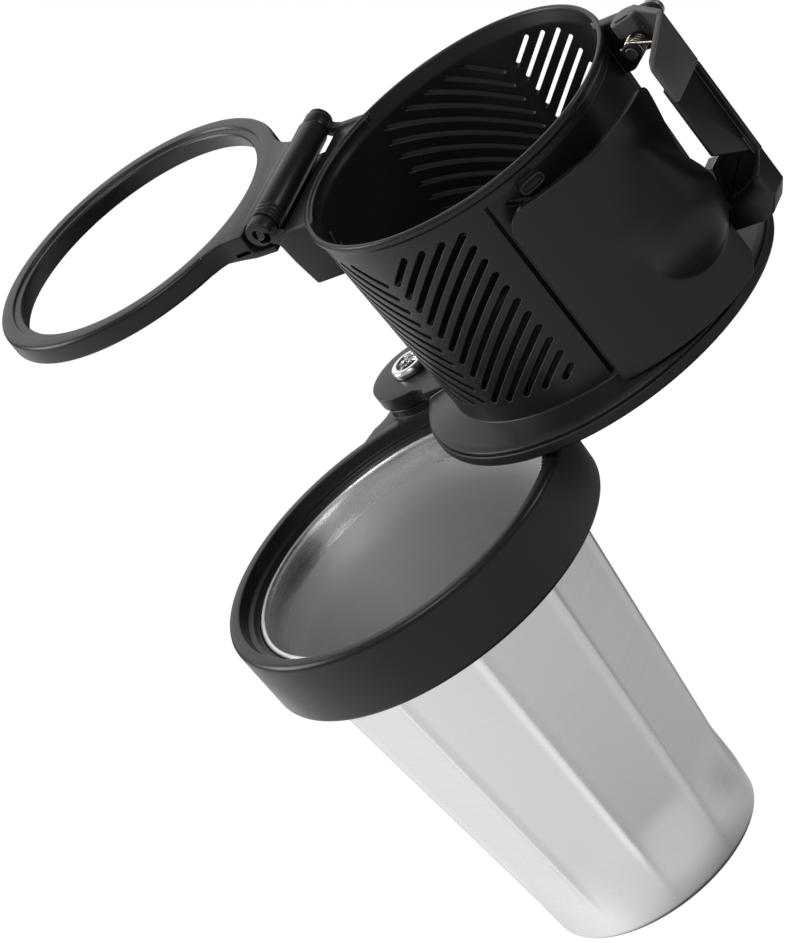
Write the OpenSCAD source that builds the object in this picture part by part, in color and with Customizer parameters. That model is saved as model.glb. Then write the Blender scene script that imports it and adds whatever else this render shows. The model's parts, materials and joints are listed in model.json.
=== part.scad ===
// Air vent cup holder: a slotted basket held to a vent by a sprung lever,
// with a ring that folds over the mouth and a cup ring that swings out below.
// Millimetres, +Z up. The origin is where the lever and the nose grip the vent.

/* [Basket] */
// Inner radius of the basket mouth
mouth_radius = 39; // [37:0.5:40]
// Wall thickness of the basket
wall_thickness = 1.7; // [1.4:0.1:2.2]
// Height of the basket wall above its floor edge
wall_height = 56.7; // [54:0.1:58]
// Radius of the flange at the foot of the basket
flange_radius = 46.8; // [45:0.1:47]
// Radius of the lug that carries the swivel pin
lug_radius = 11; // [9:0.5:12]

/* [Slots] */
// Height between one slot and the next
slot_pitch = 4.15; // [3.6:0.05:4.6]
// Width of each slot
slot_width = 1.7; // [1.2:0.1:2]
// Slope of the slots from the level
slot_slope = 40; // [30:1:45]

/* [Flip ring] */
// Outer radius of the flip ring
flip_outer_radius = 39.8; // [38:0.1:41]
// Radius of the hole in the flip ring
flip_hole_radius = 33.4; // [30:0.1:34]
// Thickness of the flip ring
flip_thickness = 5.4; // [4.5:0.1:5.6]
// Half the length of the flip hinge
hinge_half = 21.1; // [20:0.1:22]

/* [Swivel ring and cup] */
// Outer radius of the swivel ring
swivel_outer_radius = 46.2; // [45:0.1:47]
// Height of the swivel ring
swivel_height = 18.5; // [14:0.5:20]
// Swing of the cup ring away from the basket axis
swing_start = 11.9; // [0:0.1:60]
// Inner radius of the cup mouth
cup_mouth_radius = 38.5; // [37:0.1:38.6]
// Outer radius of the cup foot
cup_foot_radius = 28.1; // [26:0.1:31]
// Height of the cup
cup_height = 106.7; // [90:0.1:120]

/* [Clamp] */
// Outer face of the lever, measured from the basket axis
lever_face = 60; // [58:0.5:62]
// Thickness of the back plate
plate_thickness = 2; // [1.6:0.1:2.4]

/* [Hidden] */
axis_y = -47.4;
axis_z = 1.9;
pivot_y = -53.8;
grip_y = 53;
grip_z = -30;
pin_y = 46.3;
pin_z = -3.8;
pin_radius = 1.5;
spring_radius = 2.05;
wire_radius = 0.4;
recess_depth = 0.9;
plate_gap = 0.2;
wall_top_outer = mouth_radius + 1;
wall_foot_outer = mouth_radius - 0.8;
wall_top_inner = wall_top_outer - wall_thickness;
wall_foot_inner = wall_foot_outer - wall_thickness;
foot_z = -wall_height;
floor_z = foot_z - 0.4;
flange_z = foot_z - 2.5;
lug_z = foot_z - 3.6;
tray_z = foot_z - 5.9;
ring_top_z = tray_z - 0.6;
ring_low_z = ring_top_z - swivel_height;
eye_radius = 3.3;
eye_length = 3.7;
barrel_radius = 3.6;
barrel_half = hinge_half - eye_length - 0.3;
flip_y = 2 * axis_y + 0.4;
flip_top_z = 3.2;
flip_low_z = flip_top_z - flip_thickness;
cup_top_z = ring_top_z - 3.8;
cup_low_z = cup_top_z - cup_height;
cup_slope = (cup_mouth_radius + 0.7 - cup_foot_radius) / cup_height;
plate_x = 0.6;
plate_y = 12.3;
plate_radius = 36.6;
slot_rise = tan(slot_slope);
screw_radius = 1.1;
screw_circle = 30;
slot_start_z = -6.1;
slot_top_z = -6.9;
slot_low_z = -50.6;

// Moves the whole object so that the vent grip is at the origin.
module placed() {
  translate([0, -grip_y, -grip_z]) children();
}

// Turns a drawing in Y and Z into a plate that runs along X.
module across(from_x, to_x) {
  translate([from_x, 0, 0]) rotate([90, 0, 90]) linear_extrude(height = to_x - from_x) children();
}

// Round bar along X.
module bar_x(from_x, to_x, y, z, r) {
  translate([from_x, y, z]) rotate([0, 90, 0]) cylinder(h = to_x - from_x, r = r, $fn = 48);
}

// One slot with round ends, drawn flat.
module slot_flat(u0, z0, u1, z1) {
  run = sqrt((u1 - u0) * (u1 - u0) + (z1 - z0) * (z1 - z0));
  turn = atan2(z1 - z0, u1 - u0);
  translate([u0, z0]) rotate(turn) {
    circle(d = slot_width, $fn = 16);
    translate([0, -slot_width / 2]) square([run, slot_width]);
    translate([run, 0]) circle(d = slot_width, $fn = 16);
  }
}

// One arm of a chevron patch: slots that climb away from its middle line.
module slot_arm(reach) {
  for (k = [2:18]) {
    base = slot_start_z - slot_pitch * k;
    u0 = max(slot_width / 2 + 1.05, (slot_low_z - base) / slot_rise);
    u1 = min(reach, (slot_top_z - base) / slot_rise);
    if (u1 > u0 + 1.5) slot_flat(u0, base + slot_rise * u0, u1, base + slot_rise * u1);
  }
}

// A chevron patch cut straight through the wall.
module slot_patch(turn, right, left, lift) {
  rotate([0, 0, turn]) translate([18, 0, lift]) rotate([90, 0, 90]) linear_extrude(height = 26) {
    slot_arm(right);
    mirror([1, 0]) slot_arm(left);
  }
}

// Basket wall with its rounded lip, floor and sloping flange, turned about the axis.
module basket_turned() {
  rotate_extrude($fn = 72) polygon([
    [0, floor_z], [wall_foot_inner - 1.2, floor_z], [wall_foot_inner - 0.3, floor_z + 0.4],
    [wall_foot_inner, floor_z + 1.3], [wall_top_inner, -1.4], [wall_top_inner + 0.3, -0.5],
    [mouth_radius, -0.1], [mouth_radius + 0.3, 0], [mouth_radius + 1.2, 0],
    [mouth_radius + 1.55, -0.15], [mouth_radius + 1.7, -0.5], [mouth_radius + 1.7, -1.4],
    [mouth_radius + 1.5, -1.8], [wall_top_outer, -2], [wall_foot_outer, foot_z],
    [wall_foot_outer + 0.3, foot_z - 0.3], [flange_radius - 2.5, foot_z - 1.45],
    [flange_radius - 1.6, foot_z - 1.65], [flange_radius - 0.9, foot_z - 1.95],
    [flange_radius - 0.45, foot_z - 2.35], [flange_radius - 0.45, flange_z], [0, flange_z]]);
}

// Outline of the swivel lug with its two hollow flanks.
module lug_outline() {
  difference() {
    union() {
      translate([0, pivot_y]) circle(r = lug_radius, $fn = 64);
      polygon([[-13, -34], [-13, -44], [-14.2, -49.7], [-10.4, -50.6],
        [10.4, -50.6], [14.2, -49.7], [13, -44], [13, -34]]);
    }
    translate([14.6, -49.1]) circle(r = 4.4, $fn = 48);
    translate([-14.6, -49.1]) circle(r = 4.4, $fn = 48);
  }
}

// One side web of the flip hinge with its eye.
module hinge_ear(eye_from, eye_to, web_from, web_to) {
  difference() {
    union() {
      bar_x(eye_from, eye_to, axis_y, axis_z, eye_radius);
      across(web_from, web_to) polygon([
        [axis_y, axis_z - eye_radius], [axis_y + 1.4, axis_z - eye_radius + 0.3],
        [-44.3, -2.6], [-43.7, -8], [-42.3, -15.3], [-30, -15.3], [-30, -0.05], [-41.8, -0.05],
        [-43.2, 0.5], [-44.2, 1.5], [axis_y, axis_z + 1]]);
    }
    bar_x(eye_from - 1, eye_to + 1, axis_y, axis_z, 1.5);
  }
}

// Ear on the far side that carries the clamp pin.
module clamp_ear() {
  difference() {
    union() {
      bar_x(-24, -19.4, pin_y, pin_z, 4.1);
      across(-24, -19.4) polygon([[pin_y - 1, pin_z + 3.95], [40, 0.2], [36, -0.3], [26, -0.3],
        [26, -14], [36, -14], [43, -9.5], [pin_y + 1.5, pin_z - 3.8]]);
    }
    bar_x(-25, -18, pin_y, pin_z, pin_radius);
  }
}

// Small oval boss with a recess on the wall beside the plate.
module oval_boss(turn) {
  rotate([0, 0, turn]) translate([39, 0, -6]) rotate([90, 0, 90]) difference() {
    linear_extrude(height = 3) {
      translate([-1.8, 0]) circle(r = 1.5, $fn = 32);
      translate([1.8, 0]) circle(r = 1.5, $fn = 32);
      translate([-1.8, -1.5]) square([3.6, 3]);
    }
    translate([0, 0, 2.2]) linear_extrude(height = 2) {
      translate([-1.8, 0]) circle(r = 0.8, $fn = 24);
      translate([1.8, 0]) circle(r = 0.8, $fn = 24);
      translate([-1.8, -0.8]) square([3.6, 1.6]);
    }
  }
}

// Post that joins the wall to the back plate.
module plate_post(turn, z) {
  rotate([0, 0, turn]) translate([36, 0, z]) rotate([0, 90, 0]) cylinder(h = 17, r = 3.4, $fn = 48);
}

// Shallow seat in the wall behind the back plate.
module plate_recess() {
  intersection() {
    difference() {
      translate([0, 0, foot_z + 0.5]) cylinder(h = wall_height - 5.1, r = 50, $fn = 72);
      translate([0, 0, foot_z]) cylinder(h = wall_height, r1 = wall_foot_outer - recess_depth,
        r2 = wall_top_outer - recess_depth, $fn = 72);
    }
    translate([0, 0, foot_z]) linear_extrude(height = 60) polygon([[0, 0],
      [60 * cos(31), 60 * sin(31)], [50, 60], [-36, 60]]);
  }
}

// Posts end at the inside of the plate.
module plate_posts() {
  intersection() {
    union() {
      plate_post(62, -16);
      plate_post(62, -47);
    }
    translate([plate_x, plate_y, -60]) cylinder(h = 60, r = plate_radius - plate_thickness, $fn = 72);
  }
}

// The space inside the middle of the wall, kept free of ears and posts.
module wall_core() {
  translate([0, 0, foot_z - 1]) cylinder(h = wall_height + 1,
    r1 = wall_foot_outer - recess_depth - 0.4, r2 = wall_top_outer - recess_depth - 0.4, $fn = 72);
  translate([0, 0, -0.01]) cylinder(h = 12, r = wall_top_outer - recess_depth - 0.4, $fn = 72);
}

module basket() {
  color([0.07, 0.07, 0.08]) difference() {
    union() {
      difference() {
        basket_turned();
        plate_recess();
        slot_patch(-16.5, 23.3, 29, 0);
        slot_patch(-171.5, 29.4, 21.3, 1.4);
        slot_patch(86, 30.4, 30.4, -0.5);
      }
      difference() {
        union() {
          hinge_ear(hinge_half - eye_length, hinge_half, hinge_half - 2.4, hinge_half);
          hinge_ear(-hinge_half, -hinge_half + eye_length, -hinge_half, -hinge_half + 2.4);
          across(-hinge_half + 1, hinge_half - 1) polygon([[-43.3, -4.4], [-42.9, -8], [-41.7, -15.3],
            [-34, -15.3], [-34, -4.4]]);
          clamp_ear();
          oval_boss(47);
          oval_boss(133);
          plate_posts();
        }
        wall_core();
      }
      difference() {
        translate([0, 0, lug_z]) linear_extrude(height = foot_z - lug_z) lug_outline();
        translate([0, 0, lug_z - 1]) cylinder(h = 70, r = wall_foot_outer - 0.6, $fn = 72);
      }
    }
    translate([0, pivot_y, -70]) cylinder(h = 30, r = 3, $fn = 48);
    for (a = [30, 150, 270]) rotate([0, 0, a]) translate([screw_circle, 0, flange_z - 1])
      cylinder(h = 2.3, r = screw_radius, $fn = 32);
    for (z = [-16, -47]) rotate([0, 0, 62]) translate([30, 0, z]) rotate([0, 90, 0])
      cylinder(h = 16, r = 1.2, $fn = 32);
  }
}

module base_tray() {
  color([0.05, 0.05, 0.06]) difference() {
    rotate_extrude($fn = 72) polygon([[0, tray_z], [flange_radius - 0.7, tray_z],
      [flange_radius - 0.15, tray_z + 0.25], [flange_radius + 0.1, tray_z + 0.8],
      [flange_radius + 0.1, flange_z - 0.7], [flange_radius - 0.1, flange_z - 0.45],
      [flange_radius - 0.9, flange_z - 0.4], [flange_radius - 0.9, flange_z], [0, flange_z]]);
    translate([0, pivot_y, tray_z - 1]) cylinder(h = 5, r = lug_radius + 0.1, $fn = 64);
    translate([0, 0, lug_z]) linear_extrude(height = 5) lug_outline();
    for (a = [30, 150, 270]) rotate([0, 0, a]) translate([screw_circle, 0, tray_z - 1]) {
      cylinder(h = 5, r = screw_radius, $fn = 32);
      cylinder(h = 2, r = 2.4, $fn = 32);
    }
  }
}

module tray_screw(turn) {
  color([0.5, 0.5, 0.52]) rotate([0, 0, turn]) translate([screw_circle, 0, tray_z + 0.1]) difference() {
    union() {
      cylinder(h = 0.9, r = 2.3, $fn = 32);
      cylinder(h = flange_z - tray_z + 1.1, r = screw_radius, $fn = 32);
    }
    translate([-1.5, -0.3, -1]) cube([3, 0.6, 1.4]);
    translate([-0.3, -1.5, -1]) cube([0.6, 3, 1.4]);
  }
}

module tray_screw_a() {
  tray_screw(30);
}

module tray_screw_b() {
  tray_screw(150);
}

module tray_screw_c() {
  tray_screw(270);
}

// Flat outline of the back plate, seen square on, with rounded corners.
module plate_outline() {
  union() {
    polygon([[-22.4, foot_z - 0.8], [-12, foot_z - 1], [-7, foot_z - 1.2],
      [0, foot_z - 1.5], [7, foot_z - 1.9], [14.8, foot_z - 1.7], [17.6, foot_z - 0.4],
      [18.7, foot_z + 2], [18.7, -13], [-22.4, -13]]);
    translate([-17.4, -14]) square([31.1, 6]);
    translate([-17.4, -13]) circle(r = 5, $fn = 48);
    translate([13.7, -13]) circle(r = 5, $fn = 48);
  }
}

// The rounded nose that the vent bears on, before it is trimmed to the plate.
module nose_turned() {
  translate([10.4, 39.3, -35.6]) rotate_extrude($fn = 64) intersection() {
    union() {
      circle(r = 15, $fn = 64);
      polygon([[0, 0], [14.1, 5.13], [6.4, 26.3], [0, 28]]);
    }
    translate([0, -20]) square([30, 60]);
  }
}

module back_plate() {
  color([0.06, 0.06, 0.07]) difference() {
    union() {
      intersection() {
        translate([plate_x, plate_y, -60]) difference() {
          cylinder(h = 60, r = plate_radius, $fn = 96);
          translate([0, 0, -1]) cylinder(h = 62, r = plate_radius - plate_thickness, $fn = 96);
        }
        translate([plate_x, plate_y, 0]) rotate([0, 0, 55]) translate([10, 0, 0]) rotate([90, 0, 90])
          linear_extrude(height = 40) plate_outline();
      }
      difference() {
        nose_turned();
        translate([plate_x, plate_y, -70]) cylinder(h = 80, r = plate_radius - 1, $fn = 96);
        translate([-30 + plate_x, 20, -70]) cube([30, 60, 80]);
      }
    }
    for (z = [-16, -47]) rotate([0, 0, 62]) translate([36, 0, z]) rotate([0, 90, 0])
      cylinder(h = 8.6, r = 1.2, $fn = 32);
  }
}

// Inner radius of the basket wall at a height.
function wall_inner(z) = wall_foot_inner + (wall_top_inner - wall_foot_inner) * (z - foot_z) / wall_height;

module plate_screw(z) {
  color([0.5, 0.5, 0.52]) rotate([0, 0, 62]) translate([wall_inner(z) - 1.05, 0, z]) rotate([0, 90, 0]) {
    cylinder(h = 45 - wall_inner(z), r = 1.2, $fn = 32);
    cylinder(h = 0.9, r = 2.4, $fn = 32);
  }
}

module plate_screw_a() {
  plate_screw(-16);
}

module plate_screw_b() {
  plate_screw(-47);
}

module clamp_pin() {
  color([0.6, 0.6, 0.62]) union() {
    bar_x(-24.6, -7.8, pin_y, pin_z, pin_radius);
    bar_x(-25.4, -24.1, pin_y, pin_z, pin_radius + 1);
  }
}

module pin_clip() {
  color([0.12, 0.12, 0.13]) difference() {
    bar_x(-8.9, -8.2, pin_y, pin_z, pin_radius + 0.8);
    bar_x(-10, -7, pin_y, pin_z, pin_radius);
  }
}

// Coil of the return spring with its two straight legs.
module clamp_spring() {
  color([0.72, 0.62, 0.52]) translate([0, pin_y, pin_z]) {
    for (k = [0:4]) translate([-12.8 + 0.84 * k, 0, 0]) rotate([0, 90, 0])
      rotate_extrude($fn = 32) translate([spring_radius, 0]) circle(r = wire_radius, $fn = 14);
    translate([-9.44, 0, -spring_radius]) rotate([-66, 0, 0])
      cylinder(h = 9, r = wire_radius - 0.02, $fn = 16);
    translate([-12.8, 0, -spring_radius]) rotate([66, 0, 0])
      cylinder(h = 6.4, r = wire_radius - 0.02, $fn = 16);
  }
}

module flip_pin() {
  color([0.5, 0.5, 0.52]) bar_x(-hinge_half + 0.6, hinge_half - 2.4, axis_y, axis_z, 1.5);
}

module flip_cap() {
  color([0.05, 0.05, 0.05]) union() {
    bar_x(-hinge_half - 1.2, -hinge_half, axis_y, axis_z, eye_radius - 0.3);
    bar_x(-hinge_half - 0.6, -hinge_half + 0.6, axis_y, axis_z, 1.5);
  }
}

module swivel_pin() {
  color([0.8, 0.8, 0.8]) translate([0, pivot_y, 0]) union() {
    translate([0, 0, foot_z]) rotate_extrude($fn = 64) polygon([[0, 0], [4.3, 0], [4.6, 0.4],
      [4.6, 1.4], [4.2, 1.9], [3.4, 2.1], [3.2, 1.7], [0, 1.5]]);
    translate([0, 0, ring_low_z + 1]) cylinder(h = foot_z - ring_low_z - 1, r = 3, $fn = 48);
  }
}

module swivel_washer() {
  color([0.6, 0.6, 0.62]) translate([0, pivot_y, lug_z - 0.5]) difference() {
    cylinder(h = 0.5, r = 8, $fn = 64);
    translate([0, 0, -1]) cylinder(h = 3, r = 3, $fn = 48);
  }
}

module swivel_spring() {
  color([0.6, 0.6, 0.62]) translate([0, pivot_y, ring_low_z + 4.4]) difference() {
    cylinder(h = 1.5, r = 5.6, $fn = 48);
    translate([0, 0, -1]) cylinder(h = 4, r = 3, $fn = 48);
  }
}

module swivel_nut() {
  color([0.6, 0.6, 0.62]) translate([0, pivot_y, ring_low_z + 1.4]) difference() {
    cylinder(h = 3, r = 5.8, $fn = 6);
    translate([0, 0, -1]) cylinder(h = 6, r = 3, $fn = 48);
  }
}

// Flat outline of the flip ring and its neck.
module flip_outline() {
  difference() {
    union() {
      translate([0, flip_y]) circle(r = flip_outer_radius, $fn = 96);
      polygon([[-24, flip_y + 31], [-27, flip_y + 38], [-15, -52.4], [hinge_half, -52.4],
        [hinge_half, flip_y + 38], [29, flip_y + 38], [24, flip_y + 31]]);
    }
    translate([hinge_half + 8, flip_y + 37.9]) circle(r = 8, $fn = 64);
    translate([-28.2, flip_y + 45.8]) circle(r = 14, $fn = 96);
  }
}

module flip_ring() {
  color([0.06, 0.06, 0.07]) difference() {
    union() {
      translate([0, 0, flip_low_z]) linear_extrude(height = flip_thickness - 0.8) flip_outline();
      translate([0, 0, flip_top_z - 0.8]) linear_extrude(height = 0.8) intersection() {
        flip_outline();
        union() {
          translate([0, flip_y]) circle(r = flip_outer_radius - 0.8, $fn = 96);
          translate([-15.5, flip_y + 28]) square([hinge_half + 15, 60]);
        }
      }
      across(-14.2, barrel_half) polygon([[-53, flip_low_z], [-52, axis_z - barrel_radius],
        [axis_y, axis_z - barrel_radius], [axis_y, flip_top_z], [-53, flip_top_z]]);
      across(-14.2, hinge_half) polygon([[-62, flip_low_z], [-56, -2.9], [-52, -3.6], [-45.6, -3.8],
        [-45.6, -2.3], [-51.2, -2.3], [-52.4, -1], [-62, -1]]);
      bar_x(-barrel_half, barrel_half, axis_y, axis_z, barrel_radius);
    }
    bar_x(-hinge_half - 1, hinge_half + 1, axis_y, axis_z, 1.56);
    translate([0, flip_y, flip_low_z - 3]) cylinder(h = 12, r = flip_hole_radius + 0.6, $fn = 96);
    translate([0, flip_y, flip_low_z - 0.1]) cylinder(h = 4.6, r1 = flip_hole_radius + 1.6,
      r2 = flip_hole_radius + 0.6, $fn = 96);
    translate([0, flip_y, flip_top_z - 0.6]) cylinder(h = 2, r = flip_hole_radius + 2.6, $fn = 96);
    for (x = [13.4, 14.7, 16]) translate([x, axis_y, axis_z]) rotate([0, 90, 0]) difference() {
      cylinder(h = 0.5, r = 6, $fn = 64);
      translate([0, 0, -1]) cylinder(h = 3, r = barrel_radius - 0.4, $fn = 64);
      translate([-8, -12, -1]) cube([16, 9, 3]);
    }
  }
}

// Outline of the hub that joins the swivel ring to its pin.
module hub_outline() {
  difference() {
    union() {
      translate([0, pivot_y]) circle(r = lug_radius - 0.6, $fn = 64);
      translate([0, pivot_y]) rotate(swing_start) polygon([[0, -10.4], [16, -19], [16, 19], [0, 10.4]]);
    }
    translate([0, pivot_y]) rotate(swing_start) translate([0.2, 18.6]) circle(r = 8.2, $fn = 48);
    translate([0, pivot_y]) rotate(swing_start) translate([0.2, -18.6]) circle(r = 8.2, $fn = 48);
  }
}

// Moves a child to the middle of the swivel ring as it stands.
module at_ring() {
  translate([0, pivot_y, 0]) rotate([0, 0, swing_start]) translate([53.8, 0, 0]) children();
}

module swivel_ring() {
  color([0.07, 0.07, 0.08]) difference() {
    union() {
      at_ring() rotate_extrude($fn = 96) polygon([
        [39.9, ring_low_z], [swivel_outer_radius - 1.2, ring_low_z],
        [swivel_outer_radius - 0.6, ring_low_z + 0.6],
        [swivel_outer_radius, ring_top_z - 2], [swivel_outer_radius - 0.2, ring_top_z - 1],
        [swivel_outer_radius - 0.9, ring_top_z - 0.2], [swivel_outer_radius - 1.6, ring_top_z],
        [swivel_outer_radius - 3.4, ring_top_z], [swivel_outer_radius - 3.7, ring_top_z - 0.3],
        [swivel_outer_radius - 4.2, ring_top_z - 2.8], [40.9, ring_top_z - 3.1], [39.9, ring_top_z - 3.6]]);
      difference() {
        translate([0, 0, ring_low_z]) linear_extrude(height = swivel_height) hub_outline();
        at_ring() translate([0, 0, -200]) cylinder(h = 200, r = swivel_outer_radius - 3, $fn = 96);
      }
      translate([0, pivot_y, ring_top_z - 1])
        cylinder(h = lug_z - 0.55 - ring_top_z + 1, r = lug_radius - 0.6, $fn = 64);
    }
    translate([0, pivot_y, ring_low_z - 1]) cylinder(h = 40, r = 3.06, $fn = 48);
    translate([0, pivot_y, ring_low_z - 1]) cylinder(h = 7, r = 6.6, $fn = 48);
  }
}

// Outer radius of the plain cup at a height.
function cup_radius(z) = cup_foot_radius + cup_slope * (z - cup_low_z);

module cup_seat() {
  color([0.05, 0.05, 0.05]) at_ring() rotate_extrude($fn = 96) polygon([
    [39.9, ring_top_z - 5.5], [cup_radius(ring_top_z - 5.5) + 0.1, ring_top_z - 5.5],
    [cup_radius(ring_low_z + 2) + 0.1, ring_low_z + 2], [39.9, ring_low_z + 2]]);
}

// Round and flat-sided cones that meet to give the cup its soft flutes.
module cup_form(inset) {
  intersection() {
    translate([0, 0, cup_low_z]) cylinder(h = cup_height, r1 = cup_foot_radius - inset,
      r2 = cup_mouth_radius + 0.7 - inset, $fn = 96);
    translate([0, 0, cup_low_z]) cylinder(h = cup_height, r1 = cup_foot_radius - inset + 1.4,
      r2 = cup_mouth_radius + 1.6 - inset, $fn = 12);
  }
}

module steel_cup() {
  color([0.8, 0.8, 0.81]) at_ring() difference() {
    union() {
      cup_form(0);
      translate([0, 0, cup_top_z - 1.6]) rotate_extrude($fn = 96) polygon([[38.2, 0], [39.5, 0],
        [39.7, 0.4], [39.7, 1.2], [39.4, 1.5], [38.8, 1.6], [38.2, 1.6]]);
    }
    difference() {
      cup_form(0.7);
      translate([0, 0, cup_low_z - 1]) cylinder(h = 2, r = 60, $fn = 24);
    }
    translate([0, 0, cup_top_z - 2]) cylinder(h = 5, r1 = 38.3, r2 = 38.9, $fn = 96);
    translate([0, 0, cup_low_z - 1]) cylinder(h = 1.6, r = cup_foot_radius - 3, $fn = 96);
  }
}

// Side profile of the hook, outer and inner edges.
module hook_profile() {
  polygon([[lever_face, -34], [lever_face, -46.4], [57.1, -50.4], [54.1, -51.4], [45.8, -51.4], [44.2, -49.8],
    [43.4, -47.2], [49.2, -45.4], [56.4, -42.4], [58.2, -38.6], [58.2, -34]]);
}

module clamp_lever() {
  color([0.06, 0.06, 0.07]) union() {
    translate([0, lever_face - 1.55, 0]) rotate([90, 0, 0]) linear_extrude(height = 1.5)
      polygon([[-8, -8], [5.8, -8], [5.8, -27.6], [-6, -36], [-6.4, -37], [-8, -37]]);
    translate([-8, lever_face - 1.9, -37.4]) cube([1.1, 1.9, 26]);
    difference() {
      across(-8, -0.6) hook_profile();
      translate([-10, 50, -34.98]) rotate([0, 27, 0]) cube([20, 20, 20]);
    }
    across(-7.8, -6.3) polygon([[51, -33.9], [58.7, -32], [58.7, -38], [56, -43.4], [52, -45.4],
      [49.4, -46.6], [44.1, -47.6], [46.6, -37.2], [49.1, -35.4]]);
  }
}

// Knuckle: a bent wall, open above and on the near side, with the hub that turns on the pin.
module clamp_cover() {
  color([0.08, 0.08, 0.09]) difference() {
    union() {
      translate([0, 0, -11.3]) linear_extrude(height = 15) polygon([[-15.8, 49.4], [-14.3, 48.8],
        [-9, 57.2], [-7.4, lever_face - 1.55], [7, lever_face - 1.55], [7, lever_face - 0.6],
        [6.4, lever_face], [-8, lever_face], [-9.6, lever_face - 0.8]]);
      bar_x(-18.9, -14.4, pin_y, pin_z, 4);
      translate([0, 0, pin_z - 4]) linear_extrude(height = 7.5) polygon([[-18.4, pin_y], [-14.6, pin_y],
        [-14.3, 49.6], [-13.4, 52.2], [-14.4, 52.8], [-18.4, 50.5]]);
    }
    bar_x(-20, -13, pin_y, pin_z, pin_radius + 0.06);
    translate([-8, 40, 3.7]) rotate([0, 15, 0]) cube([30, 30, 10]);
  }
}

module grip_pad() {
  color([0.3, 0.3, 0.31]) across(-11, -6.5) polygon([[44.1, -37], [46.5, -37.2], [43.3, -47.2], [42.6, -47]]);
}

placed() basket();
placed() base_tray();
placed() tray_screw_a();
placed() tray_screw_b();
placed() tray_screw_c();
placed() back_plate();
placed() plate_screw_a();
placed() plate_screw_b();
placed() clamp_pin();
placed() pin_clip();
placed() clamp_spring();
placed() flip_pin();
placed() flip_cap();
placed() swivel_pin();
placed() swivel_washer();
placed() swivel_spring();
placed() swivel_nut();
placed() flip_ring();
placed() swivel_ring();
placed() cup_seat();
placed() steel_cup();
placed() clamp_lever();
placed() clamp_cover();
placed() grip_pad();
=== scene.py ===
import json
import math

import bmesh
import bpy
from bpy.props import FloatProperty, FloatVectorProperty, IntProperty, PointerProperty
from mathutils import Matrix, Vector


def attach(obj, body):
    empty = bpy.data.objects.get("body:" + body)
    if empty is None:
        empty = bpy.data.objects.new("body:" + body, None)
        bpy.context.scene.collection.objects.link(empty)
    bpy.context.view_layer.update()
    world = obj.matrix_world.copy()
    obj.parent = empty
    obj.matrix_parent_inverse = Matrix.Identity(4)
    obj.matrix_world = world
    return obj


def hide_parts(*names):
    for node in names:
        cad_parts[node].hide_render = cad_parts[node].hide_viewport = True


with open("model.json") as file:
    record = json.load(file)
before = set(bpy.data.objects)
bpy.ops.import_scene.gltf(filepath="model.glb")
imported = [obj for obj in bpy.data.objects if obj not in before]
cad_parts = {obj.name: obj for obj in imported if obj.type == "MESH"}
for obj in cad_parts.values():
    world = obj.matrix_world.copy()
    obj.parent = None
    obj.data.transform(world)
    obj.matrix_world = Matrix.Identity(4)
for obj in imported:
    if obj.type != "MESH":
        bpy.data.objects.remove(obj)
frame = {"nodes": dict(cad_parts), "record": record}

bl_info = {
    "name": "Air vent cup holder",
    "version": (1, 0, 0),
    "blender": (4, 5, 0),
    "location": "View3D > Sidebar > Cup holder",
    "description": "Dresses the packed air vent cup holder with detailed pieces, finishes and a studio stage",
    "category": "Object",
}

# Lengths below are millimetres from the middle of the basket mouth, as on a drawing of the basket.
# The vent grip, where the object's own frame has its origin, is here on that drawing.
GRIP = Vector((0.0, 53.0, -30.0))
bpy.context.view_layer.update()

# Heights and radii of the basket drawing, in millimetres.
MOUTH = 39.0
FOOT = -56.7
FLANGE = 46.8
TRAY = FOOT - 5.9
RING_TOP = TRAY - 0.6
RING_LOW = RING_TOP - 18.5
HINGE = (-47.4, 1.9)
PIVOT = (0.0, -53.8)
SWING = math.radians(11.9)
RING = (53.8 * math.cos(SWING), PIVOT[1] + 53.8 * math.sin(SWING))
FLIP_Y = 2 * HINGE[0] + 0.4
CUP_TOP = RING_TOP - 3.8
CUP_LOW = CUP_TOP - 106.7
CLAMP_PIN = (46.3, -3.8)
PLATE = (0.6, 12.3)
FACE = 60.0

# Each imported node's material slot.
NODE_SLOT = {p["node"]: p["material_slot"] for p in frame["record"]["subparts"]}


def mm(x, y, z):
    """A drawing point in the object's frame, in metres."""
    return (Vector((x, y, z)) - GRIP) / 1000.0


def only(obj):
    """Selects one object alone and makes it active."""
    if bpy.context.object and bpy.context.object.mode != "OBJECT":
        bpy.ops.object.mode_set(mode="OBJECT")
    bpy.ops.object.select_all(action="DESELECT")
    obj.select_set(True)
    bpy.context.view_layer.objects.active = obj
    return obj


def settle(obj, name, angle=30.0):
    """Names a finished piece, applies its place and smooths all but its sharp edges."""
    only(obj)
    obj.name = name
    obj.data.name = name
    bpy.ops.object.transform_apply(location=True, rotation=True, scale=True)
    bpy.ops.object.shade_smooth_by_angle(angle=math.radians(angle), keep_sharp_edges=True)
    return obj


def finish_piece(obj, body, slot, replaces=()):
    """Gives a piece its finish, its body and the nodes that it stands for."""
    obj.data.materials.clear()
    obj.data.materials.append(FINISHES[slot])
    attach(obj, body)
    if replaces:
        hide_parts(*replaces)
    return obj


def smooth(low, high, value):
    """0 below low, 1 above high, and a soft rise between."""
    t = max(0.0, min(1.0, (value - low) / (high - low)))
    return t * t * (3 - 2 * t)


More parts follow.
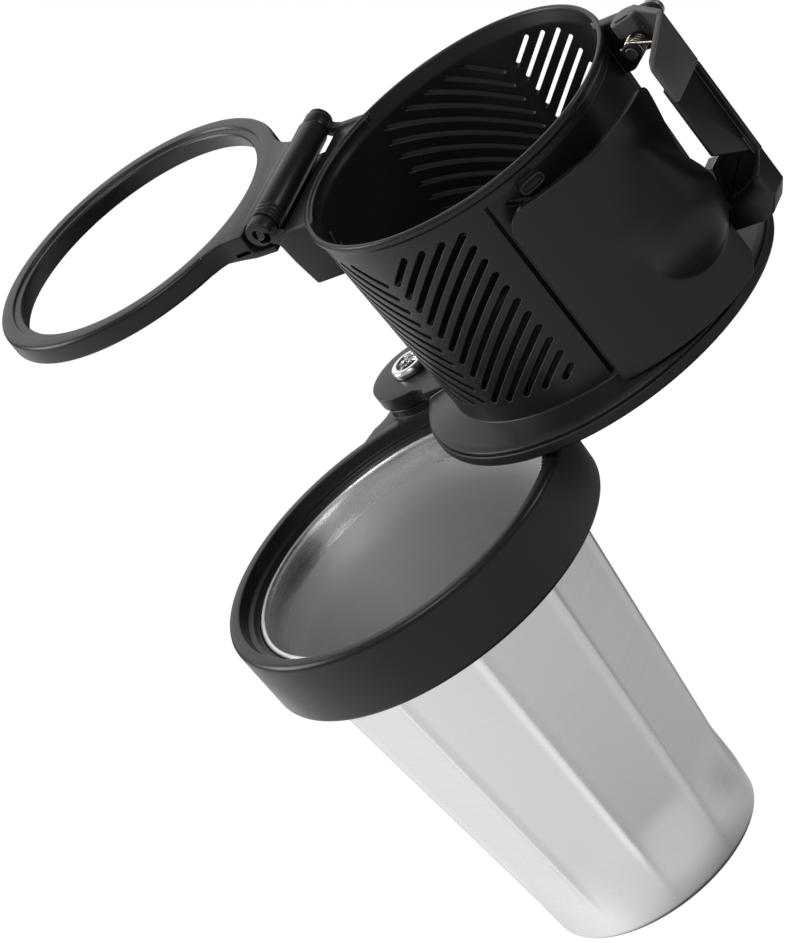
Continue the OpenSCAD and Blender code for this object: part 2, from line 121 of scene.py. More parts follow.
def rounded(corners, steps=4, closed=True):
    """A flat outline of (a, b, radius) corners, each rounded to its radius."""
    outline = []
    count = len(corners)
    for i, (a, b, radius) in enumerate(corners):
        corner = Vector((a, b))
        back = Vector(corners[i - 1][:2]) - corner
        ahead = Vector(corners[(i + 1) % count][:2]) - corner
        if radius <= 0 or (not closed and i in (0, count - 1)):
            outline.append(corner)
            continue
        half = back.angle(ahead) / 2
        if half > 1.54:
            outline.append(corner)
            continue
        cut = min(radius / math.tan(half), 0.49 * back.length, 0.49 * ahead.length)
        radius = cut * math.tan(half)
        back.normalize()
        ahead.normalize()
        middle = corner + (back + ahead).normalized() * (radius / math.sin(half))
        start = corner + back * cut - middle
        end = corner + ahead * cut - middle
        first = math.atan2(start.y, start.x)
        turn = math.atan2(start.x * end.y - start.y * end.x, start.dot(end))
        for k in range(steps + 1):
            angle = first + turn * k / steps
            outline.append(middle + Vector((math.cos(angle), math.sin(angle))) * radius)
    return outline


def arc(centre, radius, start, end, steps):
    """Points along an arc in degrees."""
    spots = [math.radians(start + (end - start) * k / steps) for k in range(steps + 1)]
    return [Vector((centre[0] + radius * math.cos(a), centre[1] + radius * math.sin(a))) for a in spots]


def new_piece(name, points, edges=(), faces=()):
    """A mesh object from points in the object's frame."""
    mesh = bpy.data.meshes.new(name)
    mesh.from_pydata([tuple(p) for p in points], edges, faces)
    piece = bpy.data.objects.new(name, mesh)
    bpy.context.scene.collection.objects.link(piece)
    return only(piece)


def tidy_mesh(piece):
    """Merges doubles and turns the faces outwards."""
    only(piece)
    bpy.ops.object.mode_set(mode="EDIT")
    bpy.ops.mesh.select_all(action="SELECT")
    bpy.ops.mesh.remove_doubles(threshold=1e-6)
    bpy.ops.mesh.normals_make_consistent(inside=False)
    bpy.ops.object.mode_set(mode="OBJECT")
    return piece


def spun(name, outline, about, steps=192, along_x=False):
    """An outline of (radius, height) points spun about an upright axis, or of (x, radius) about X."""
    if along_x:
        points = [mm(a, about[0], about[1] + b) for a, b in outline]
        middle, axis = mm(0, *about), (1, 0, 0)
        on_axis = [abs(b) < 1e-9 for a, b in outline]
    else:
        points = [mm(about[0] + a, about[1], b) for a, b in outline]
        middle, axis = mm(*about, 0), (0, 0, 1)
        on_axis = [abs(a) < 1e-9 for a, b in outline]
    count = len(points)
    loop = count - 1 if on_axis[0] and on_axis[-1] else count
    piece = new_piece(name, points, [(i, (i + 1) % count) for i in range(loop)])
    bpy.ops.object.mode_set(mode="EDIT")
    bpy.ops.mesh.select_all(action="SELECT")
    bpy.ops.mesh.spin(steps=steps, angle=math.tau, center=middle, axis=axis)
    bpy.ops.object.mode_set(mode="OBJECT")
    return tidy_mesh(piece)


def soften(piece, width, steps=3, angle=30.0):
    """Rounds the sharp edges of a block."""
    only(piece)
    bpy.ops.object.modifier_add(type="BEVEL")
    bevel = piece.modifiers[-1]
    bevel.width = width / 1000.0
    bevel.segments = steps
    bevel.limit_method = "ANGLE"
    bevel.angle_limit = math.radians(angle)
    bpy.ops.object.modifier_apply(modifier=bevel.name)
    return piece


def slab(name, corners, push, soft=0.3, steps=3):
    """A flat outline of drawing points pushed out to a block, its edges rounded."""
    piece = new_piece(name, [mm(*c) for c in corners], (), [list(range(len(corners)))])
    bpy.ops.object.mode_set(mode="EDIT")
    bpy.ops.mesh.select_all(action="SELECT")
    bpy.ops.mesh.extrude_region_move(TRANSFORM_OT_translate={"value": tuple(Vector(push) / 1000.0)})
    bpy.ops.object.mode_set(mode="OBJECT")
    tidy_mesh(piece)
    return soften(piece, soft, steps) if soft else piece


def across(name, outline, from_x, to_x, soft=0.3):
    """A block that runs along X, from its side outline in Y and Z."""
    return slab(name, [(from_x, y, z) for y, z in outline], (to_x - from_x, 0, 0), soft)


def carve(piece, cutter, how="DIFFERENCE"):
    """Cuts one piece with another, which is then gone."""
    only(piece)
    bpy.ops.object.modifier_add(type="BOOLEAN")
    cut = piece.modifiers[-1]
    cut.operation = how
    cut.solver = "EXACT"
    cut.object = cutter
    bpy.ops.object.modifier_apply(modifier=cut.name)
    bpy.data.objects.remove(cutter)
    return piece


def slice_off(piece, point, outward):
    """Cuts away what lies beyond a plane and closes the cut."""
    only(piece)
    bpy.ops.object.mode_set(mode="EDIT")
    bpy.ops.mesh.select_all(action="SELECT")
    bpy.ops.mesh.bisect(plane_co=mm(*point), plane_no=outward, use_fill=True, clear_outer=True)
    bpy.ops.object.mode_set(mode="OBJECT")
    return piece


def joined(pieces):
    """Several shells made one piece."""
    only(pieces[0])
    for piece in pieces:
        piece.select_set(True)
    bpy.ops.object.join()
    return pieces[0]


def wire(name, path, thickness):
    """A round wire along a path of drawing points, made a mesh."""
    curve = bpy.data.curves.new(name, "CURVE")
    curve.dimensions = "3D"
    curve.bevel_depth = thickness / 2000.0
    curve.bevel_resolution = 3
    curve.use_fill_caps = True
    line = curve.splines.new("POLY")
    line.points.add(len(path) - 1)
    for point, place in zip(line.points, path):
        point.co = (*mm(*place), 1)
    piece = bpy.data.objects.new(name, curve)
    bpy.context.scene.collection.objects.link(piece)
    only(piece)
    bpy.ops.object.convert(target="MESH")
    return bpy.context.object


# Finishes
FINISHES = {}


def new_group(name, inputs, outputs):
    """An empty shader group with its sockets."""
    group = bpy.data.node_groups.new(name, "ShaderNodeTree")
    for label, kind, value in inputs:
        socket = group.interface.new_socket(label, in_out="INPUT", socket_type=kind)
        if value is not None:
            socket.default_value = value
    for label, kind in outputs:
        group.interface.new_socket(label, in_out="OUTPUT", socket_type=kind)
    return group


def node(tree, kind, at=(0, 0), **values):
    """A node with its settings and the values of its inputs."""
    made = tree.nodes.new(kind)
    made.location = at
    for key, value in values.items():
        if hasattr(made, key):
            setattr(made, key, value)
        else:
            made.inputs[key.replace("_", " ")].default_value = value
    return made


def moulded_grain_group():
    """Fine mould texture: its height, and a slow drift used for colour and roughness."""
    group = new_group(
        "Moulded grain",
        [("Grain size", "NodeSocketFloat", 0.25), ("Drift size", "NodeSocketFloat", 18.0)],
        [("Height", "NodeSocketFloat"), ("Drift", "NodeSocketFloat")],
    )
    tree = group
    inp = node(tree, "NodeGroupInput", (-900, 0))
    out = node(tree, "NodeGroupOutput", (500, 0))
    place = node(tree, "ShaderNodeTexCoord", (-900, -200))
    fine = node(tree, "ShaderNodeMath", (-700, 100), operation="DIVIDE")
    fine.inputs[0].default_value = 1000.0
    slow = node(tree, "ShaderNodeMath", (-700, -100), operation="DIVIDE")
    slow.inputs[0].default_value = 1000.0
    grain = node(tree, "ShaderNodeTexNoise", (-450, 100), Detail=2.0, Roughness=0.6)
    drift = node(tree, "ShaderNodeTexNoise", (-450, -150), Detail=3.0, Roughness=0.55)
    link = tree.links.new
    link(inp.outputs["Grain size"], fine.inputs[1])
    link(inp.outputs["Drift size"], slow.inputs[1])
    link(place.outputs["Object"], grain.inputs["Vector"])
    link(place.outputs["Object"], drift.inputs["Vector"])
    link(fine.outputs[0], grain.inputs["Scale"])
    link(slow.outputs[0], drift.inputs["Scale"])
    link(grain.outputs["Fac"], out.inputs["Height"])
    link(drift.outputs["Fac"], out.inputs["Drift"])
    return group


def edge_highlight_group():
    """A mask that is 1 along sharp edges, broken up by noise, used to paint highlights along edges, and the softened
    normal.
    """
    group = new_group(
        "Edge highlight",
        [("Width", "NodeSocketFloat", 0.35), ("Break up", "NodeSocketFloat", 0.5)],
        [("Edge", "NodeSocketFloat"), ("Soft normal", "NodeSocketVector")],
    )
    tree = group
    inp = node(tree, "NodeGroupInput", (-900, 0))
    out = node(tree, "NodeGroupOutput", (500, 0))
    width = node(tree, "ShaderNodeMath", (-700, 50), operation="MULTIPLY")
    width.inputs[1].default_value = 0.001
    bevel = node(tree, "ShaderNodeBevel", (-500, 50), samples=6)
    geo = node(tree, "ShaderNodeNewGeometry", (-500, -150))
    dot = node(tree, "ShaderNodeVectorMath", (-300, 0), operation="DOT_PRODUCT")
    ramp = node(tree, "ShaderNodeMapRange", (-100, 0))
    ramp.inputs["From Min"].default_value = 0.995
    ramp.inputs["From Max"].default_value = 0.86
    place = node(tree, "ShaderNodeTexCoord", (-700, -350))
    noise = node(tree, "ShaderNodeTexNoise", (-500, -350), Scale=420.0, Detail=3.0, Roughness=0.6)
    part = node(tree, "ShaderNodeMapRange", (-300, -350))
    part.inputs["From Min"].default_value = 0.35
    part.inputs["From Max"].default_value = 0.65
    blend = node(tree, "ShaderNodeMix", (-100, -300), data_type="FLOAT")
    blend.inputs["A"].default_value = 1.0
    mask = node(tree, "ShaderNodeMath", (200, 0), operation="MULTIPLY")
    link = tree.links.new
    link(inp.outputs["Width"], width.inputs[0])
    link(width.outputs[0], bevel.inputs["Radius"])
    link(bevel.outputs["Normal"], dot.inputs[0])
    link(geo.outputs["Normal"], dot.inputs[1])
    link(dot.outputs["Value"], ramp.inputs["Value"])
    link(place.outputs["Object"], noise.inputs["Vector"])
    link(noise.outputs["Fac"], part.inputs["Value"])
    link(inp.outputs["Break up"], blend.inputs["Factor"])
    link(part.outputs["Result"], blend.inputs["B"])
    link(ramp.outputs["Result"], mask.inputs[0])
    link(blend.outputs["Result"], mask.inputs[1])
    link(mask.outputs[0], out.inputs["Edge"])
    link(bevel.outputs["Normal"], out.inputs["Soft normal"])
    return group


def brushed_group():
    """Fine brush lines that run round a turned piece: its height and a streak mask."""
    group = new_group(
        "Brushed turning",
        [("Fineness", "NodeSocketFloat", 1.0)],
        [("Height", "NodeSocketFloat"), ("Streak", "NodeSocketFloat")],
    )
    tree = group
    inp = node(tree, "NodeGroupInput", (-1100, 0))
    out = node(tree, "NodeGroupOutput", (500, 0))
    place = node(tree, "ShaderNodeTexCoord", (-1100, -200))
    stretch = node(tree, "ShaderNodeMapping", (-850, 0))
    stretch.inputs["Scale"].default_value = (120.0, 120.0, 5200.0)
    longer = node(tree, "ShaderNodeMapping", (-850, -350))
    longer.inputs["Scale"].default_value = (45.0, 45.0, 900.0)
    size = node(tree, "ShaderNodeVectorMath", (-650, 0), operation="SCALE")
    fine = node(tree, "ShaderNodeTexNoise", (-450, 0), Scale=1.0, Detail=4.0, Roughness=0.7)
    streak = node(tree, "ShaderNodeTexNoise", (-450, -300), Scale=1.0, Detail=3.0, Roughness=0.6)
    link = tree.links.new
    link(place.outputs["Object"], stretch.inputs["Vector"])
    link(place.outputs["Object"], longer.inputs["Vector"])
    link(stretch.outputs["Vector"], size.inputs["Vector"])
    link(inp.outputs["Fineness"], size.inputs["Scale"])
    link(size.outputs["Vector"], fine.inputs["Vector"])
    link(longer.outputs["Vector"], streak.inputs["Vector"])
    link(fine.outputs["Fac"], out.inputs["Height"])
    link(streak.outputs["Fac"], out.inputs["Streak"])
    return group


def plastic(name, colour, rough, spec=0.3, grain=0.25, bump=0.12, edge_highlight_gain=6.5, width=0.35):
    """Moulded plastic with a fine grain, drifting gloss, smoother edges and a painted highlight that makes its edges
    paler.
    """
    mat = bpy.data.materials.new(name)
    mat.use_nodes = True
    tree = mat.node_tree
    tree.nodes.clear()
    out = node(tree, "ShaderNodeOutputMaterial", (600, 0))
    shader = node(tree, "ShaderNodeBsdfPrincipled", (300, 0))
    shader.inputs["Specular IOR Level"].default_value = spec
    texture = node(tree, "ShaderNodeGroup", (-900, -200), node_tree=GROUPS["grain"])
    texture.inputs["Grain size"].default_value = grain
    edges = node(tree, "ShaderNodeGroup", (-900, 200), node_tree=GROUPS["edge"])
    edges.inputs["Width"].default_value = width
    tone = node(tree, "ShaderNodeMix", (-500, 300), data_type="RGBA")
    tone.inputs["A"].default_value = (*[c * 0.82 for c in colour], 1)
    tone.inputs["B"].default_value = (*[min(1, c * 1.2) for c in colour], 1)
    # Painted highlight: the edge mask makes sharp edges paler than the plastic.
    edge_light = node(tree, "ShaderNodeMix", (-200, 300), data_type="RGBA")
    edge_light.inputs["B"].default_value = (*[min(1, c * edge_highlight_gain) for c in colour], 1)
    gloss = node(tree, "ShaderNodeMapRange", (-500, 0))
    gloss.inputs["From Min"].default_value = 0.3
    gloss.inputs["From Max"].default_value = 0.7
    gloss.inputs["To Min"].default_value = rough - 0.04
    gloss.inputs["To Max"].default_value = rough + 0.05
    edge_gloss = node(tree, "ShaderNodeMix", (-200, 0), data_type="FLOAT")
    edge_gloss.inputs["B"].default_value = rough * 0.8
    bumps = node(tree, "ShaderNodeBump", (0, -300), Strength=bump, Distance=0.00004)
    link = tree.links.new
    link(texture.outputs["Drift"], tone.inputs["Factor"])
    link(tone.outputs["Result"], edge_light.inputs["A"])
    link(edges.outputs["Edge"], edge_light.inputs["Factor"])
    link(edge_light.outputs["Result"], shader.inputs["Base Color"])
    link(texture.outputs["Drift"], gloss.inputs["Value"])
    link(gloss.outputs["Result"], edge_gloss.inputs["A"])
    link(edges.outputs["Edge"], edge_gloss.inputs["Factor"])
    link(edge_gloss.outputs["Result"], shader.inputs["Roughness"])
    link(texture.outputs["Height"], bumps.inputs["Height"])
    link(edges.outputs["Soft normal"], bumps.inputs["Normal"])
    link(bumps.outputs["Normal"], shader.inputs["Normal"])
    link(shader.outputs["BSDF"], out.inputs["Surface"])
    return mat


def metal(name, colour, rough, bump=0.1, fineness=1.0, spread=0.08, width=0.2, ridge_highlight_gain=1.1, hollow=None):
    """Steel with fine turned brush lines, streaks in its gloss and a painted highlight that makes its edges and flute
    ridges paler.
    """
    mat = bpy.data.materials.new(name)
    mat.use_nodes = True
    tree = mat.node_tree
    tree.nodes.clear()
    out = node(tree, "ShaderNodeOutputMaterial", (600, 0))
    shader = node(tree, "ShaderNodeBsdfPrincipled", (300, 0), Metallic=1.0)
    brush = node(tree, "ShaderNodeGroup", (-900, -200), node_tree=GROUPS["brush"])
    brush.inputs["Fineness"].default_value = fineness
    edges = node(tree, "ShaderNodeGroup", (-900, 200), node_tree=GROUPS["edge"])
    edges.inputs["Width"].default_value = width
    tone = node(tree, "ShaderNodeMix", (-300, 300), data_type="RGBA")
    tone.inputs["A"].default_value = (*[c * 0.94 for c in colour], 1)
    tone.inputs["B"].default_value = (*[min(1, c * 1.04) for c in colour], 1)
    # Painted highlight: the edge mask makes edges and flute ridges paler than the steel.
    ridge = node(tree, "ShaderNodeMix", (0, 300), data_type="RGBA")
    ridge.inputs["B"].default_value = (*[min(1, c * ridge_highlight_gain) for c in colour], 1)
    streaks = node(tree, "ShaderNodeMapRange", (-300, 0))
    streaks.inputs["From Min"].default_value = 0.3
    streaks.inputs["From Max"].default_value = 0.7
    streaks.inputs["To Min"].default_value = rough - spread
    streaks.inputs["To Max"].default_value = rough + spread
    gloss = streaks
    bumps = node(tree, "ShaderNodeBump", (0, -300), Strength=bump, Distance=0.00003)
    link = tree.links.new
    if hollow:
        place = node(tree, "ShaderNodeTexCoord", (-1300, -600))
        about = node(tree, "ShaderNodeVectorMath", (-1100, -600), operation="SUBTRACT")
        about.inputs[1].default_value = hollow[0]
        flat = node(tree, "ShaderNodeVectorMath", (-900, -600), operation="MULTIPLY")
        flat.inputs[1].default_value = (1, 1, 0)
        reach = node(tree, "ShaderNodeVectorMath", (-700, -600), operation="LENGTH")
        parts = node(tree, "ShaderNodeSeparateXYZ", (-900, -800))
        wall = node(tree, "ShaderNodeMath", (-700, -800), operation="MULTIPLY_ADD")
        wall.inputs[1].default_value = hollow[1]
        wall.inputs[2].default_value = hollow[2]
        inside = node(tree, "ShaderNodeMath", (-500, -700), operation="LESS_THAN")
        satin = node(tree, "ShaderNodeMix", (0, -100), data_type="FLOAT")
        satin.inputs["B"].default_value = 0.5
        fading = node(tree, "ShaderNodeMapRange", (-200, -500))
        fading.inputs["To Min"].default_value = bump
        fading.inputs["To Max"].default_value = 0.01
        link(place.outputs["Object"], about.inputs[0])
        link(about.outputs["Vector"], flat.inputs[0])
        link(flat.outputs["Vector"], reach.inputs[0])
        link(about.outputs["Vector"], parts.inputs["Vector"])
        link(parts.outputs["Z"], wall.inputs[0])
        link(reach.outputs["Value"], inside.inputs[0])
        link(wall.outputs[0], inside.inputs[1])
        link(inside.outputs[0], satin.inputs["Factor"])
        link(inside.outputs[0], fading.inputs["Value"])
        link(gloss.outputs["Result"], satin.inputs["A"])
        link(fading.outputs["Result"], bumps.inputs["Strength"])
        gloss = satin
    link(brush.outputs["Streak"], tone.inputs["Factor"])
    link(tone.outputs["Result"], ridge.inputs["A"])
    link(edges.outputs["Edge"], ridge.inputs["Factor"])
    link(ridge.outputs["Result"], shader.inputs["Base Color"])
    link(brush.outputs["Streak"], streaks.inputs["Value"])
    link(gloss.outputs["Result"], shader.inputs["Roughness"])
    link(brush.outputs["Height"], bumps.inputs["Height"])
    link(edges.outputs["Soft normal"], bumps.inputs["Normal"])
    link(bumps.outputs["Normal"], shader.inputs["Normal"])
    link(shader.outputs["BSDF"], out.inputs["Surface"])
    return mat


GROUPS = {}


# Settings
class HolderSizes(bpy.types.PropertyGroup):
    """Sizes of the dressed pieces, in millimetres"""

    wall: FloatProperty(name="Basket wall", description="Thickness of the basket wall, in millimetres", default=2.0, min=1.5, max=2.4)
    slot: FloatProperty(name="Slot width", description="Width of the slots on the outside, in millimetres", default=1.7, min=1.2, max=2.0)
    flute_depth: FloatProperty(name="Flute depth", description="Depth of the soft flutes of the steel cup, in millimetres", default=2.0, min=0.0, max=2.4)
    wire: FloatProperty(name="Spring wire", description="Thickness of the spring wire, in millimetres", default=0.8, min=0.5, max=1.0)


class HolderColours(bpy.types.PropertyGroup):
    """Colours of the finishes"""

    plastic: FloatVectorProperty(name="Plastic", description="Black moulded plastic", subtype="COLOR", size=3, min=0, max=1, default=(0.010, 0.010, 0.012))
    steel: FloatVectorProperty(name="Cup steel", description="Brushed steel of the cup", subtype="COLOR", size=3, min=0, max=1, default=(0.72, 0.72, 0.73))
    copper: FloatVectorProperty(name="Spring wire", description="Coppery spring wire", subtype="COLOR", size=3, min=0, max=1, default=(0.50, 0.45, 0.41))
    backdrop: FloatVectorProperty(name="Backdrop", description="Floor and surroundings", subtype="COLOR", size=3, min=0, max=1, default=(0.9, 0.9, 0.9))


# Pieces and steps
class HOLDER_OT_finishes(bpy.types.Operator):
    """Makes the plastics, rubbers and metals"""

    bl_idname = "holder.finishes"
    bl_label = "Finishes"

    def execute(self, context):
        hues = context.scene.holder_colours
        black = tuple(hues.plastic)
        GROUPS["grain"] = moulded_grain_group()
        GROUPS["edge"] = edge_highlight_group()
        GROUPS["brush"] = brushed_group()
        FINISHES.update({
            "black_plastic": plastic("black_plastic", black, 0.34),
            "black_plastic_dark": plastic("black_plastic_dark", tuple(c * 0.8 for c in black), 0.5),
            "ring_plastic": plastic("ring_plastic", black, 0.3),
            "cover_plastic": plastic("cover_plastic", (0.055, 0.056, 0.054), 0.36, spec=0.45, edge_highlight_gain=1.7),
            "soft_seat": plastic("soft_seat", (0.012, 0.012, 0.012), 0.7, spec=0.2),
            "soft_pad": plastic("soft_pad", (0.25, 0.25, 0.25), 0.7, spec=0.3),
            "cup_steel": metal("cup_steel", tuple(hues.steel), 0.27, bump=0.05, spread=0.03, width=1.1, ridge_highlight_gain=1.4, hollow=(mm(*RING, CUP_LOW), 11.1 / 106.7, 0.0281 - 0.0022)),
            "screw_steel": metal("screw_steel", (0.5, 0.5, 0.52), 0.35),
            "pin_steel": metal("pin_steel", (0.35, 0.35, 0.36), 0.35),
            "bright_pin": metal("bright_pin", (0.85, 0.83, 0.80), 0.16, bump=0.04, spread=0.04),
            "spring_wire": metal("spring_wire", tuple(hues.copper), 0.25, bump=0.04, spread=0.05),
        })
        return {"FINISHED"}


def wall_radius(z):
    """Outer radius of the basket wall at a height."""
    return MOUTH - 0.8 + 1.8 * (z - FOOT) / -FOOT


def slot_cutters(turn, right, left, lift, wide, wall, nearest=1.9):
    """Closed cutters for one chevron patch of slots, which narrow a little towards the inside."""
    points, faces = [], []
    normal = Vector((math.cos(math.radians(turn)), math.sin(math.radians(turn)), 0))
    side = Vector((-normal.y, normal.x, 0))
    rise = math.tan(math.radians(40))
    for way, reach in ((1, right), (-1, left)):
        width_here = wide * 0.72 if turn < -100 else wide
        for k in range(2, 7 if nearest > 2 else 19):
            base = -6.1 - 4.15 * k
            start = max(nearest, (-50.6 - base) / rise)
            end = min(reach, (-6.9 - base) / rise)
            if end < start + 1.5:
                continue
            along = Vector((math.cos(math.radians(40)), math.sin(math.radians(40))))
            cross = Vector((-along.y, along.x))
            length = (end - start) / along.x
            half = width_here / 2
            stations = [-half * c for c in (0.98, 0.8, 0.45)] + [length * t / 8 for t in range(9)]
            stations += [length + half * c for c in (0.45, 0.8, 0.98)]
            first = len(points)
            for s in stations:
                past = max(-s, s - length, 0.0)
                share = math.sqrt(max(0.0, half * half - past * past)) / half
                spot = Vector((start, base + start * rise)) + along * s
                depth = math.sqrt(40.0 ** 2 - spot.x ** 2)
                for reach_in, width in ((-wall * 40.0 / depth - 1.6, half * 0.72), (1.8, half * 1.06)):
                    for sign in (-1, 1):
                        at = spot + cross * (width * share * sign)
                        place = normal * (depth + reach_in) + side * (at.x * way)
                        points.append(mm(place.x, place.y, at.y + lift))
            last = len(stations) - 1
            for i in range(last):
                a, b = first + 4 * i, first + 4 * (i + 1)
                for p, q in ((0, 1), (1, 3), (3, 2), (2, 0)):
                    faces.append((a + p, a + q, b + q, b + p))
            faces.append((first, first + 1, first + 3, first + 2))
            tail = first + 4 * last
            faces.append((tail, tail + 2, tail + 3, tail + 1))
    return points, faces


class HOLDER_OT_basket(bpy.types.Operator):
    """Turns the slotted basket and adds its ears, swivel lug, bosses and posts"""

    bl_idname = "holder.basket"
    bl_label = "Basket"

    def execute(self, context):
        sizes = context.scene.holder_sizes
        wall = sizes.wall
        rows = [-4.5, -4.75, -14, -24, -34, -45, -55.9, -56.15]
        profile = [
            (0, FOOT - 0.4, 0), (MOUTH - 0.8 - wall, FOOT - 0.4, 1.6), (MOUTH + 1 - wall, -3.6, 2.5),
            (MOUTH + 0.1, -0.9, 0.8), (MOUTH + 0.4, 0, 0.5), (MOUTH + 1.45, 0, 0.6),
            (MOUTH + 1.7, -0.8, 0.5), (MOUTH + 1.6, -1.8, 0.4), (wall_radius(-2.3), -2.3, 0.6),
        ]
        profile += [(wall_radius(z), z, 0) for z in rows]
        profile += [
            (MOUTH - 0.8, FOOT, 0.5), (FLANGE - 2.0, FOOT - 1.5, 2.0), (FLANGE - 0.45, FOOT - 2.1, 0.6),
            (FLANGE - 0.45, FOOT - 2.5, 0.1), (0, FOOT - 2.5, 0),
        ]
        body = spun("basket_turned", rounded(profile, 4, closed=False), (0, 0), 240)
        for vertex in body.data.vertices:
            place = vertex.co * 1000 + GRIP
            radius = math.hypot(place.x, place.y)
            turn = math.degrees(math.atan2(place.y, place.x))
            if -56.0 < place.z < -4.6 and 31 < turn < 121 and abs(radius - wall_radius(place.z)) < 0.05:
                place.x *= (radius - 0.9) / radius
                place.y *= (radius - 0.9) / radius
                vertex.co = mm(*place)
        points, faces = [], []
        for patch in ((-16.5, 23.3, 29, 0), (-171.5, 29.4, 21.3, 1.4), (86, 0, 30.4, -0.5)):
            nearest = 24.4 if patch[1] == 0 else 1.9
            more, sides = slot_cutters(*patch, sizes.slot, wall, nearest)
            faces += [tuple(len(points) + i for i in face) for face in sides]
            points += more
        carve(body, tidy_mesh(new_piece("slots", points, (), faces)))
        parts = [body]

        def core():
            shell = [(0, -66), (MOUTH - 2, -66), (MOUTH - 2, FOOT), (MOUTH - 0.3, 0), (MOUTH - 0.3, 12), (0, 12)]
            return spun("core", shell, (0, 0), 96)

        for from_x, web in ((17.4, (18.7, 21.1)), (-21.1, (-21.1, -18.7))):
            eye = rounded([(from_x, 1.5, 0), (from_x + 3.7, 1.5, 0), (from_x + 3.7, 3.3, 0.35), (from_x, 3.3, 0.35)])
            parts.append(spun("eye", eye, HINGE, 64, along_x=True))
            side = rounded([
                (HINGE[0] - 1.6, HINGE[1] - 2.6, 1), (HINGE[0] + 1.4, HINGE[1] - 3.0, 1.2), (-44.3, -2.6, 0.8),
                (-43.7, -8, 3), (-42.3, -15.3, 0.8), (-33.4, -15.3, 0), (-33.4, -0.3, 0), (-41.8, -0.1, 2),
                (-43.4, 0.5, 1), (-44.6, 1.9, 1), (HINGE[0], HINGE[1] + 1.5, 0),
            ])
            parts.append(across("web", side, *web, 0.4))
        bridge = rounded([(-43.3, -0.5, 0.8), (-42.9, -8, 3), (-41.7, -15.2, 0.8), (-34, -15.2, 0), (-34, -0.5, 0)])
        parts.append(carve(across("bridge", bridge, -20.1, 20.1, 0.3), core()))
        ear = rounded([(-22.8, 1.5, 0), (-19.4, 1.5, 0), (-19.4, 3.4, 0.4), (-22.8, 3.4, 0.4)])
        parts.append(spun("clamp_eye", ear, CLAMP_PIN, 64, along_x=True))
        arm = rounded([
            (46.0, -0.5, 0.8), (40, -0.3, 3), (34, -0.4, 0), (28, -0.4, 0), (28, -14, 0), (36, -14, 3),
            (43, -9.5, 2), (47.6, -7.0, 1),
        ])
        parts.append(carve(across("clamp_ear", arm, -22.8, -19.4, 0.4), core()))
        outline = [Vector((13, -35))] + arc((14.6, -49.1), 4.4, 111.3, 190, 8) + arc(PIVOT, 11, 20.9, -200.9, 56)
        outline += arc((-14.6, -49.1), 4.4, -10, 68.7, 8) + [Vector((-13, -35))]
        lug = slab("lug", [(x, y, FOOT - 3.6) for x, y in outline], (0, 0, 3.6), 0.7, 4)
        parts.append(carve(lug, core()))
        for turn in (47, 133):
            out = Vector((math.cos(math.radians(turn)), math.sin(math.radians(turn)), 0))
            flat = Vector((-out.y, out.x, 0))
            oval = arc((1.8, -6), 1.5, -90, 90, 10) + arc((-1.8, -6), 1.5, 90, 270, 10)
            boss = slab("oval_boss", [(*(out * 38.7 + flat * u).xy, z) for u, z in oval], out * 3.3, 0)
            only(boss)
            bpy.ops.object.mode_set(mode="EDIT")
            bpy.ops.mesh.select_mode(type="FACE")
            bpy.ops.mesh.select_all(action="DESELECT")
            bpy.ops.object.mode_set(mode="OBJECT")
            for face in boss.data.polygons:
                face.select = face.normal.dot(out) > 0.99
            bpy.ops.object.mode_set(mode="EDIT")
            bpy.ops.mesh.inset(thickness=0.0006)
            bpy.ops.mesh.extrude_region_move(TRANSFORM_OT_translate={"value": tuple(out * -0.0009)})
            bpy.ops.object.mode_set(mode="OBJECT")
            parts.append(soften(boss, 0.18, 2))
        out = Vector((math.cos(math.radians(62)), math.sin(math.radians(62)), 0))
        flat = Vector((-out.y, out.x, 0))
        for height in (-16, -47):
            ring = [(*(out * 36.9 + flat * u).xy, z) for u, z in arc((0, height), 3.4, 0, 350, 35)]
            parts.append(slab("post", ring, out * 8.3, 0))
        piece = settle(joined(parts), "basket_moulding", 32)
        finish_piece(piece, "holder", "black_plastic", ("basket",))
        return {"FINISHED"}


